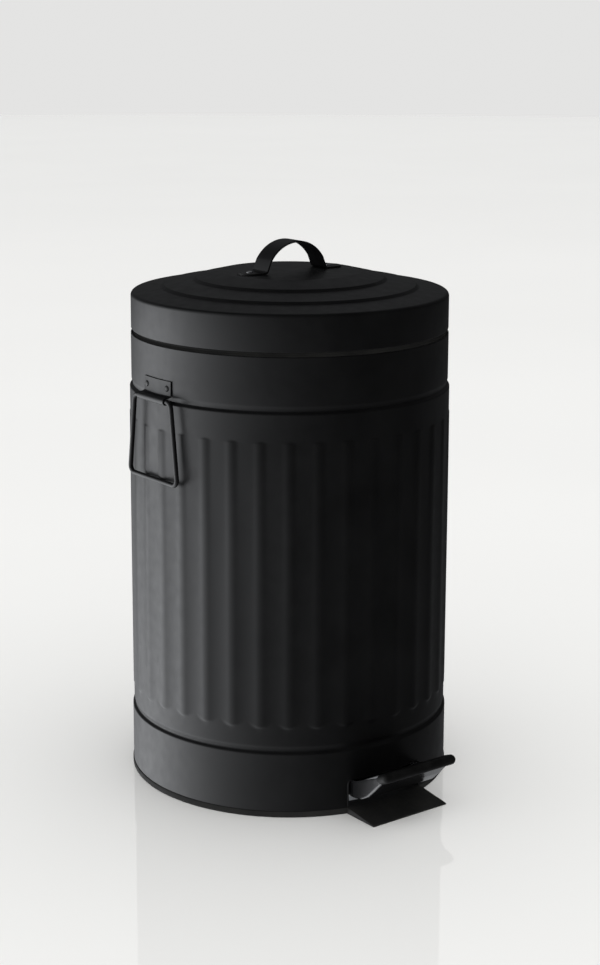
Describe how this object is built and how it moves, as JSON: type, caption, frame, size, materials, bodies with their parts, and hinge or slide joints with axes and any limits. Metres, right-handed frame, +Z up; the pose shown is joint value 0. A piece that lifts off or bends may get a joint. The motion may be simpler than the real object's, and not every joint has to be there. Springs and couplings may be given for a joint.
{
  "type": "pedal trash can",
  "caption": "Round corrugated steel pedal bin with a stepped lid, strap and wire handles, foot pedal, lift rod and inner bucket.",
  "frame": {"origin": "centre of the base on the floor plane", "axes": "+Z up along the can's axis, -Y towards the pedal (front), +Y towards the lid hinge, +X towards the right-hand side handle seen from behind the pedal"},
  "size_m": [0.265, 0.3025, 0.428],
  "materials": {
    "painted_steel": "satin black powder coat",
    "gloss_enamel": "gloss black enamel",
    "black_plastic": "moulded matt black plastic",
    "bucket_plastic": "moulded black polypropylene",
    "soft_rubber": "matt black rubber",
    "zinc_steel": "zinc plated",
    "bright_rivet": "bright steel"
  },
  "bodies": {
    "can": {"body_shell": "painted_steel", "base_ring": "black_plastic", "bottom_plate": "zinc_steel", "base_screws": "zinc_steel", "neck_ring": "black_plastic", "lid_bumpers": "soft_rubber", "handle_bracket_left": "painted_steel", "handle_bracket_right": "painted_steel", "handle_rivets": "painted_steel", "hinge_bracket": "painted_steel", "hinge_rivets": "painted_steel", "hinge_pin": "zinc_steel", "rod_guide_lower": "black_plastic", "rod_guide_upper": "black_plastic", "pedal_axle": "zinc_steel"},
    "lid": {"lid_shell": "painted_steel", "lid_handle": "painted_steel", "lid_handle_rivets": "bright_rivet", "lid_hinge_plate": "painted_steel", "lid_hinge_rivets": "painted_steel"},
    "pedal": {"pedal_lever": "gloss_enamel", "pedal_pad": "soft_rubber"},
    "rod": {"lift_rod": "zinc_steel"},
    "left_handle": {"handle_left": "painted_steel"},
    "right_handle": {"handle_right": "painted_steel"},
    "bucket": {"bucket": "bucket_plastic"},
    "bail": {"bucket_bail": "zinc_steel"}
  },
  "joints": [
    {"name": "lid_hinge", "type": "hinge", "parent": "can", "child": "lid", "pos_m": [0, 0.13, 0.352], "axis": [-1, 0, 0], "range_deg": [0, 75]},
    {"name": "pedal_pivot", "type": "hinge", "parent": "can", "child": "pedal", "pos_m": [0, -0.108, 0.02], "axis": [1, 0, 0], "range_deg": [0, 18.1]},
    {"name": "rod_lift", "type": "slide", "parent": "can", "child": "rod", "axis": [0, 0, 1], "range_m": [0, 0.01852]},
    {"name": "left_handle_swing", "type": "hinge", "parent": "can", "child": "left_handle", "pos_m": [-0.1297, 0, 0.317], "axis": [0, 1, 0], "range_deg": [0, 165]},
    {"name": "right_handle_swing", "type": "hinge", "parent": "can", "child": "right_handle", "pos_m": [0.1297, 0, 0.317], "axis": [0, -1, 0], "range_deg": [0, 165]},
    {"name": "bucket_lift", "type": "slide", "parent": "can", "child": "bucket", "axis": [0, 0, 1], "range_m": [0, 0.006]},
    {"name": "bail_swing", "type": "hinge", "parent": "bucket", "child": "bail", "pos_m": [0, 0, 0.3644], "axis": [-1, 0, 0], "range_deg": [0, 8]}
  ],
  "couplings": [
    {"joint": "pedal_pivot", "follows": "lid_hinge", "ratio": 0.24},
    {"joint": "rod_lift", "follows": "lid_hinge", "m_per_rad": 0.014069}
  ]
}
